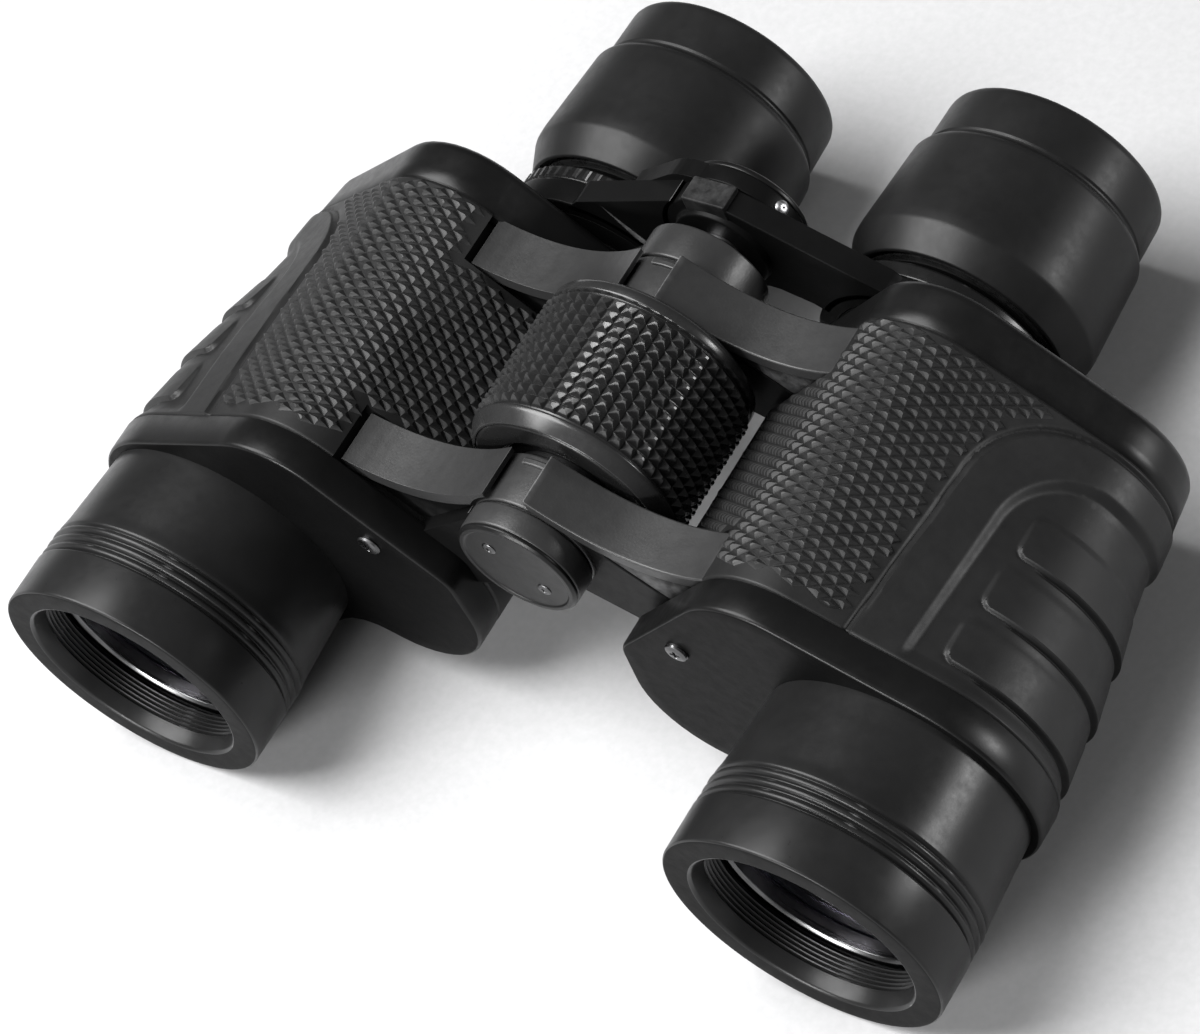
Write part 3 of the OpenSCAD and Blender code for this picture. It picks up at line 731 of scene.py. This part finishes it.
def bridge_blade():
    """Flat arm of the bridge: a straight upper edge from the hub to the ring round the eyepiece."""
    top_at = math.degrees(math.atan2(-0.6 - EYE[1], 31 - EYE[0]))
    bottom_at = math.degrees(math.atan2(-14 - EYE[1], 20 - EYE[0]))
    outline = [(0.0, 11.0), (3.6, 10.4), (7.0, 9.1), (19.0, 4.25), (30.0, -0.2)]
    outline += arc(EYE, 18.6, top_at - 6, bottom_at % 360, 24)
    outline += [(14.0, -10.5), (8.0, -9.0), (0.0, -9.0)]
    return outline


def set_screw(angle, y, r, rise):
    """Small domed screw set in the side of the hub."""
    out = Vector((math.cos(math.radians(angle)), math.sin(math.radians(angle))))
    profile = [(1.0, -0.6), (1.0, rise * 0.3), (0.8, rise * 0.75), (0.5, rise), (0.2, rise), (0.2, 0.0)]
    rings = []
    for share, height in profile:
        ring = []
        for k in range(32):
            a = 2 * math.pi * k / 32
            along, across = r * share * math.sin(a), r * share * math.cos(a)
            ring.append((out.x * (KNUCKLE_R + height) - out.y * across, y + along,
                         out.y * (KNUCKLE_R + height) + out.x * across))
        rings.append(ring)
    return lofted(rings)


def eye_ring():
    """The bridge's ring round the eyepiece."""
    profile = [(EYE_BORE_R, BRIDGE_Y), (EYE_RING_R, BRIDGE_Y), (EYE_RING_R, BRIDGE_REAR),
               (EYE_BORE_R, BRIDGE_REAR)]
    return turned(rounded(profile, 0.35), EYE, 144)


def bridge_left():
    """Hub with a flat on top, and the left arm with its ring."""
    profile = [(4.03, 99.0), (8.6, 99.0), (9.0, BRIDGE_Y + 0.2), (KNUCKLE_R, BRIDGE_Y + 0.4),
               (KNUCKLE_R, BRIDGE_REAR), (6.5, BRIDGE_REAR), (6.5, HUB_END_Y), (4.03, HUB_END_Y)]
    hub = turned(rounded(profile, 0.35), HINGE, 120)
    arm = extruded(bridge_blade(), BRIDGE_Y, BRIDGE_REAR)
    block = extruded(HUB_BLOCK, BRIDGE_Y - 0.2, BRIDGE_REAR - 0.1)
    return merged(arm, eye_ring(), hub, block)


def bridge_right():
    """Collar that turns on the left arm's hub, and the right arm with its ring."""
    front, rear = BRIDGE_REAR + 0.1, HUB_END_Y - 0.05
    profile = [(6.56, front), (KNUCKLE_R, front), (KNUCKLE_R, rear), (6.56, rear)]
    collar_hub = turned(rounded(profile, 0.35), HINGE, 120)
    arm = extruded(cleared(bridge_blade(), KNUCKLE_R + 0.6), BRIDGE_Y, BRIDGE_REAR)
    lug = strap((6.0, 1.8, 8.6), (17.5, -1.2, 4.4))
    return merged(arm, collar_hub, eye_ring(), extruded(cleared(lug, 9.5), BRIDGE_REAR - 0.1, rear))


def bridge_cap():
    front = HUB_END_Y
    profile = [(0.0, front), (10.8, front), (10.8, front + 0.9), (10.0, front + 1.4), (0.0, front + 1.4)]
    return turned(rounded(profile, 0.3, closed=False), HINGE, 120)


def screw_head(centre, y, r, height, towards=1):
    """Domed head with a cross recess cut into it as real faces."""
    rings, steps = [], 48
    profile = [(r, 0.0), (r, height * 0.35), (r * 0.9, height * 0.72), (r * 0.72, height * 0.92),
               (r * 0.5, height)]
    for pr, py in profile:
        rings.append([(centre[0] + pr * math.cos(2 * math.pi * k / steps), y + towards * py,
                       centre[1] + pr * math.sin(2 * math.pi * k / steps)) for k in range(steps)])
    arm, waist = r * 0.56, r * 0.16
    cross = []
    for k in range(steps):
        a = 2 * math.pi * k / steps
        c, s = math.cos(a), math.sin(a)
        reach = min(arm / max(abs(c), abs(s), 1e-6), waist / max(min(abs(c), abs(s)), 1e-6))
        reach = max(min(reach, arm * 1.0), waist * 1.3)
        cross.append((c * reach * 0.8, s * reach * 0.8))
    rings.append([(centre[0] + x, y + towards * height, centre[1] + z) for x, z in cross])
    floor_y = y + towards * height * 0.25
    rings.append([(centre[0] + x * 0.8, floor_y, centre[1] + z * 0.8) for x, z in cross])
    return lofted(rings)


# ---- materials ----

class Nodes:
    """Short hand for building one material's node tree."""

    def __init__(self, name):
        self.material = bpy.data.materials.new(name)
        self.material.use_nodes = True
        self.tree = self.material.node_tree
        self.shader = self.tree.nodes["Principled BSDF"]
        self.place = self.add("ShaderNodeTexCoord").outputs["Object"]

    def add(self, kind, **inputs):
        node = self.tree.nodes.new(kind)
        for key, value in inputs.items():
            node.inputs[key.replace("_", " ")].default_value = value
        return node

    def link(self, source, target):
        self.tree.links.new(source, target)

    def noise(self, size_mm, detail=3.0, roughness=0.55):
        node = self.add("ShaderNodeTexNoise", Scale=1000.0 / size_mm, Detail=detail, Roughness=roughness)
        self.link(self.place, node.inputs["Vector"])
        return node.outputs["Fac"]

    def ramp(self, source, low, high, start=0.3, end=0.7):
        """Maps a factor from low to high."""
        node = self.add("ShaderNodeMapRange", From_Min=start, From_Max=end, To_Min=low, To_Max=high)
        self.link(source, node.inputs["Value"])
        return node.outputs["Result"]

    def colours(self, source, stops):
        node = self.add("ShaderNodeValToRGB")
        ramp = node.color_ramp
        ramp.elements[0].position, ramp.elements[0].color = stops[0][0], (*stops[0][1], 1)
        ramp.elements[1].position, ramp.elements[1].color = stops[-1][0], (*stops[-1][1], 1)
        for position, colour in stops[1:-1]:
            ramp.elements.new(position).color = (*colour, 1)
        self.link(source, node.inputs["Fac"])
        return node.outputs["Color"]

    def bump(self, source, depth_mm, strength=1.0, under=None):
        node = self.add("ShaderNodeBump", Strength=strength, Distance=depth_mm * MM)
        self.link(source, node.inputs["Height"])
        if under is not None:
            self.link(under, node.inputs["Normal"])
        return node.outputs["Normal"]


def grey(value):
    """A hardly bluish grey."""
    return (value, value, value * 1.01)


def moulded(name, tone, rough, grain_mm, grain_depth, edge_wear_and_sheen=0.0, specular=0.5):
    """Black rubber, plastic or paint: fine grain, cloudy tone and gloss, and lighter edges, partly wear and
    mostly painted highlight.
    """
    n = Nodes(name)
    cloud = n.noise(14.0, 4.0)
    grain = n.noise(grain_mm, 2.0, 0.6)
    scuffs = n.noise(2.6, 6.0, 0.7)
    colour = n.colours(cloud, [(0.3, grey(tone * 0.82)), (0.7, grey(tone * 1.2))])
    # Lighter rounded edges, found by pointiness: a little wear, mostly a painted highlight for the light
    # such edges catch.
    if edge_wear_and_sheen:
        edge = n.add("ShaderNodeNewGeometry").outputs["Pointiness"]
        edge_sheen_mix = n.add("ShaderNodeMix")
        edge_sheen_mix.data_type = "RGBA"
        edge_sheen_mask = n.add("ShaderNodeMath")
        edge_sheen_mask.operation = "MULTIPLY"
        n.link(n.ramp(edge, 0.0, edge_wear_and_sheen, 0.56, 0.66), edge_sheen_mask.inputs[0])
        n.link(n.ramp(scuffs, 0.3, 1.0, 0.4, 0.65), edge_sheen_mask.inputs[1])
        n.link(edge_sheen_mask.outputs["Value"], edge_sheen_mix.inputs["Factor"])
        n.link(colour, edge_sheen_mix.inputs[6])
        edge_sheen_mix.inputs[7].default_value = (*grey(0.26), 1)
        colour = edge_sheen_mix.outputs[2]
    n.link(colour, n.shader.inputs["Base Color"])
    n.link(n.ramp(scuffs, rough - 0.05, rough + 0.06), n.shader.inputs["Roughness"])
    normal = n.bump(grain, grain_depth)
    n.link(n.bump(scuffs, grain_depth * 0.6, 0.5, normal), n.shader.inputs["Normal"])
    n.shader.inputs["Specular IOR Level"].default_value = specular
    return n.material


def turned_metal(name, colour, rough):
    """Bare metal with fine turning rings along the part's axis."""
    n = Nodes(name)
    rings = n.add("ShaderNodeTexNoise", Scale=900.0, Detail=3.0)
    stretch = n.add("ShaderNodeMapping")
    stretch.inputs["Scale"].default_value = (0.05, 3.0, 0.05)
    n.link(n.place, stretch.inputs["Vector"])
    n.link(stretch.outputs["Vector"], rings.inputs["Vector"])
    dark = tuple(c * 0.7 for c in colour)
    n.link(n.colours(n.noise(3.0, 4.0), [(0.3, dark), (0.65, colour)]), n.shader.inputs["Base Color"])
    n.link(n.ramp(rings.outputs["Fac"], rough - 0.07, rough + 0.12), n.shader.inputs["Roughness"])
    n.link(n.bump(rings.outputs["Fac"], 0.01), n.shader.inputs["Normal"])
    n.shader.inputs["Metallic"].default_value = 1.0
    return n.material


def coated_glass(name, tint, film):
    """Optical glass with a coloured anti-reflection coating and a little dust."""
    n = Nodes(name)
    n.shader.inputs["Base Color"].default_value = (*tint, 1)
    n.shader.inputs["Transmission Weight"].default_value = 1.0
    n.shader.inputs["IOR"].default_value = 1.52
    n.shader.inputs["Specular IOR Level"].default_value = 0.22
    n.shader.inputs["Specular Tint"].default_value = (*film, 1)
    smears = n.noise(6.0, 2.0)
    n.link(n.ramp(smears, 0.0, 0.035), n.shader.inputs["Roughness"])
    return n.material


# The edge values lighten each finish's rounded edges: a little wear, mostly painted highlight.
RUBBER = moulded("armour_rubber", 0.0085, 0.46, 0.30, 0.010, edge_wear_and_sheen=0.05, specular=0.22)
PYRAMID_RUBBER = moulded("pyramid_rubber", 0.0090, 0.42, 0.22, 0.006, edge_wear_and_sheen=0.08, specular=0.25)
GRIP_RUBBER = moulded("wheel_rubber", 0.0140, 0.25, 0.22, 0.005, edge_wear_and_sheen=0.12, specular=0.42)
CUP_RUBBER = moulded("eyecup_rubber_satin", 0.0080, 0.40, 0.16, 0.004, specular=0.17)
COVER = moulded("satin_cover", 0.0042, 0.33, 0.20, 0.006, edge_wear_and_sheen=0.3, specular=0.18)
# Darker copy of the cover and tube finish for faces that look straight ahead: painted shade.
SHADED_PLATE = moulded("plate_painted_shade", 0.0030, 0.42, 0.25, 0.010, specular=0.03)
TUBE = moulded("satin_tube", 0.0090, 0.32, 0.20, 0.005, edge_wear_and_sheen=0.5, specular=0.20)
PAINT = moulded("painted_casting", 0.0180, 0.37, 0.45, 0.018, edge_wear_and_sheen=0.8, specular=0.36)
# A much darker copy of the casting's paint for the webs and the bridge: painted shade; its light edges are
# mostly painted highlight.
SHADED_CASTING = moulded("casting_shade_and_edge_sheen", 0.0035, 0.38, 0.40, 0.012, edge_wear_and_sheen=0.6, specular=0.05)
WHEEL_PLASTIC = moulded("wheel_plastic", 0.0050, 0.28, 0.18, 0.004, edge_wear_and_sheen=0.1, specular=0.25)
BLACKENED = moulded("matt_blackened", 0.0030, 0.60, 0.25, 0.010, specular=0.12)
NYLON = moulded("nylon_bearing", 0.55, 0.45, 0.3, 0.005)
STEEL = turned_metal("turned_steel", (0.30, 0.30, 0.305), 0.30)
SPRING = turned_metal("spring_steel", (0.46, 0.46, 0.47), 0.33)
DARK_STEEL = turned_metal("blackened_steel", (0.12, 0.12, 0.122), 0.28)
NUT = turned_metal("blackened_nut", (0.05, 0.05, 0.051), 0.42)
LENS = coated_glass("coated_lens", (0.80, 0.84, 0.86), (0.75, 0.62, 0.95))
PRISM = coated_glass("prism_glass", (0.92, 0.96, 0.96), (0.95, 0.97, 1.0))


def pale_paper():
    """Plain white paper with a faint grain."""
    n = Nodes("pale_paper")
    grain = n.noise(1.5, 3.0)
    n.link(n.colours(grain, [(0.3, grey(0.39)), (0.7, grey(0.42))]), n.shader.inputs["Base Color"])
    n.link(n.ramp(grain, 0.85, 0.95), n.shader.inputs["Roughness"])
    n.shader.inputs["Specular IOR Level"].default_value = 0.1
    return n.material


# ---- pieces on both barrels ----

def shade_front_faces(obj):
    """Gives the flat faces that look straight ahead a darker, duller copy of the finish: painted shade."""
    obj.data.materials.append(SHADED_PLATE)
    for polygon in obj.data.polygons:
        if abs(polygon.normal.y) > 0.97:
            polygon.material_index = 1


def both(name, shape, material, crease=32):
    """The same piece on each barrel, standing for the CAD nodes name_left and name_right."""
    return [piece(f"{name}_{word}_look", shape, material, [f"{name}_{word}"], side, crease)
            for word, side in SIDES.items()]


both("armour", armour_skin(), RUBBER, 40)
pyramids = armour_pyramids()
for word, side in SIDES.items():
    nodes = [f"armour_{word}"]
    piece(f"armour_pyramids_{word}", pyramids, PYRAMID_RUBBER, nodes, side, 20, extra=True)
for cover in both("front_cover", front_cover(), COVER, 50):
    shade_front_faces(cover)
both("rear_cover", rear_cover(), COVER, 50)
for tube in both("objective_tube", objective_tube(), TUBE, 40):
    shade_front_faces(tube)
both("objective_ring", objective_ring(), DARK_STEEL, 40)
both("objective_crown", lens_shape(19.95, 11.4, 14.8, 1.9, OBJECTIVE, 16.9), LENS, 40)
both("eyecup_rubber", eyecup(), CUP_RUBBER, 50)
both("eye_lens", lens_shape(10.5, 121.2, 125.0, -0.1, EYE, 127.6), LENS, 40)
both("cover_screw", screw_head(SCREW, PLATE_Y, 2.1, 0.9, -1), DARK_STEEL, 30)

# For each barrel: x where its strips start, and its knuckles' y ranges.
ARMS = {"left": (3.0, [(38.5, 48.0), (79.0, 88.5)]), "right": (5.4, [(33.9, 38.2), (88.8, 95.5)])}
for word, side in SIDES.items():
    start_x, knuckles = ARMS[word]
    nodes = [f"housing_{word}"]
    strip = cleared(arm_strip(start_x), KNUCKLE_R + 0.7) if word == "right" else arm_strip(start_x)
    strips = [extruded(strip, y, y + ARM_WIDTH) for y in ARM_Y]
    strips += [knuckle(*k) for k in knuckles]
    if word == "left":
        strips += [oil_pad(y + ARM_WIDTH - 2.0) for y in ARM_Y]
    webs = merged(*[arm_web(y, k) for y, k in zip(ARM_Y, knuckles)])
    bevelled(piece(f"hinge_arms_{word}", merged(*strips), PAINT, nodes, side), 0.35)
    bevelled(piece(f"hinge_webs_{word}", webs, SHADED_CASTING, nodes, side, extra=True), 0.3)

bevelled(piece("hinge_cap_look", hinge_cap(), COVER, ["hinge_cap"]), 0.05)
piece("hinge_cap_marks", cap_marks(), DARK_STEEL, ["hinge_cap"], extra=True)
piece("wheel_core_look", wheel_core(), WHEEL_PLASTIC, ["wheel_core"], crease=40)
piece("wheel_grip_look", wheel_grip(), GRIP_RUBBER, ["wheel_grip"], crease=30)

for word, shape in (("left", bridge_left()), ("right", bridge_right())):
    bevelled(piece(f"bridge_{word}_look", shape, SHADED_CASTING, [f"bridge_{word}"], SIDES[word]), 0.3)
set_screw_shape = set_screw(149, 106.3, 1.3, 0.7)
piece("bridge_set_screw", set_screw_shape, SPRING, ["bridge_right"], -1, extra=True)
piece("bridge_cap_look", bridge_cap(), COVER, ["bridge_cap"])
screws = merged(*[screw_head((x, 0.0), HUB_END_Y + 1.4, 1.9, 0.8) for x in (-3.6, 3.6)])
piece("bridge_screws_look", screws, DARK_STEEL, ["bridge_screws"])
piece("eyepiece_collar_look", collar(), WHEEL_PLASTIC, ["eyepiece_collar"], 1)
dioptre = merged(collar(), ribs_round(EYE, 19.7, 105.2, 107.5, 60, 0.35))
piece("dioptre_ring_look", dioptre, WHEEL_PLASTIC, ["dioptre_ring"], -1)

# ---- CAD nodes that stay in sight ----

KEPT = {
    "objective_flint": LENS, "field_lens": LENS, "prism_front": PRISM, "prism_rear": PRISM,
    "prism_shelf": SPRING, "prism_clips": SPRING, "eyepiece_holder": BLACKENED,
    "eyepiece_barrel": BLACKENED, "eyecup_cam": WHEEL_PLASTIC, "eyecup_core": BLACKENED,
    "hinge_axle": STEEL, "hinge_washers": NYLON, "focus_nut": NUT, "focus_rod": STEEL,
}
for node_name, node in frame["nodes"].items():
    if node.hide_render:
        continue
    family = node_name.removesuffix("_left").removesuffix("_right")
    node.data.materials.clear()
    node.data.materials.append(KEPT[family])

# ---- floor, light and camera ----

floor_material = pale_paper()
floor_mesh = bpy.data.meshes.new("floor")
reach = 4.0
floor_mesh.from_pydata([(-reach, -reach, -0.0002), (reach, -reach, -0.0002),
                        (reach, reach, -0.0002), (-reach, reach, -0.0002)], [], [(0, 1, 2, 3)])
floor_mesh.materials.append(floor_material)
floor = bpy.data.objects.new("floor", floor_mesh)
bpy.context.scene.collection.objects.link(floor)

world = bpy.data.worlds.new("studio")
world.use_nodes = True
world.node_tree.nodes["Background"].inputs["Color"].default_value = (1, 1, 1, 1)
world.node_tree.nodes["Background"].inputs["Strength"].default_value = WORLD_STRENGTH
bpy.context.scene.world = world


def softbox(name, place, size, power, aim=(0, 0, 0.03)):
    """A rectangular light at place, in metres and watts, turned towards aim."""
    light = bpy.data.lights.new(name, "AREA")
    light.shape = "RECTANGLE"
    light.size, light.size_y = size
    light.energy = power
    obj = bpy.data.objects.new(name, light)
    obj.location = place
    obj.rotation_euler = (Vector(aim) - Vector(place)).to_track_quat("-Z", "Y").to_euler()
    bpy.context.scene.collection.objects.link(obj)


softbox("top_left", (-0.55, -0.30, 1.15), (1.00, 1.00), 48.0)
softbox("front", (-0.10, -1.25, 0.42), (0.60, 0.22), 20.0)
softbox("right_low", (1.15, 0.60, 0.22), (0.22, 0.30), 9.0)
bpy.context.scene.view_settings.view_transform = "Standard"

CAMERA_PLACE = Vector((0.42127, -0.31724, 0.65410))
CAMERA_AZIMUTH, CAMERA_ELEVATION, CAMERA_ROLL = 54.83, 50.33, -29.05
CAMERA_LENS = 150.57

camera_data = bpy.data.cameras.new("camera")
camera_data.sensor_width = 36.0
camera_data.lens = CAMERA_LENS
camera_data.clip_start = 0.01
camera = bpy.data.objects.new("camera", camera_data)
azimuth, elevation = math.radians(CAMERA_AZIMUTH), math.radians(CAMERA_ELEVATION)
back = Vector((math.sin(azimuth) * math.cos(elevation), -math.cos(azimuth) * math.cos(elevation),
               math.sin(elevation)))
turn = (-back).to_track_quat("-Z", "Y").to_matrix() @ Matrix.Rotation(math.radians(CAMERA_ROLL), 3, "Z")
camera.matrix_world = Matrix.Translation(CAMERA_PLACE) @ turn.to_4x4()
bpy.context.scene.collection.objects.link(camera)
bpy.context.scene.camera = camera
